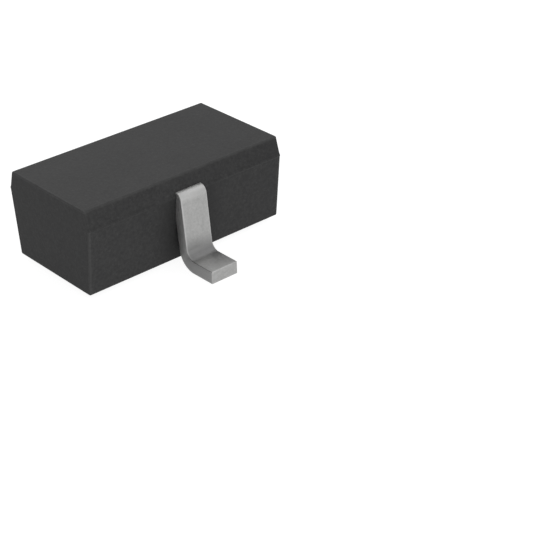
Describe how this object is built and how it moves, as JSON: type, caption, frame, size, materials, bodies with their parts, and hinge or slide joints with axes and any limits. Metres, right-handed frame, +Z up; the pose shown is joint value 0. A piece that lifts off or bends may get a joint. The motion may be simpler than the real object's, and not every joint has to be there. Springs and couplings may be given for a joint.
{
  "type": "rectifier diode array",
  "caption": "Rectifier diodes with a common cathode in a small three-lead surface-mount package, dark moulded body with gull-wing leads.",
  "frame": {"origin": "centre of the package's footprint on the board, at the soles of the feet", "axes": "+Z up from the board, +X along the body, the two anode leads towards -Y, the common cathode lead towards +Y"},
  "size_m": [0.0028, 0.0028, 0.0012],
  "materials": {
    "mould_compound": "dark grey epoxy compound, matt with a fine grain from the mould",
    "tinned_lead": "matt tin on copper alloy strip",
    "die_glue": "cured silver-filled glue, dull",
    "silicon": "sawn and polished silicon with a bright metal pad on top",
    "gold_wire": "bright drawn gold wire"
  },
  "bodies": {
    "root": {"moulded_body": "mould_compound", "anode_lead_1": "tinned_lead", "anode_lead_2": "tinned_lead", "cathode_lead": "tinned_lead", "die_attach_1": "die_glue", "die_attach_2": "die_glue", "diode_die_1": "silicon", "diode_die_2": "silicon", "bond_wire_1": "gold_wire", "bond_wire_2": "gold_wire"}
  },
  "joints": []
}
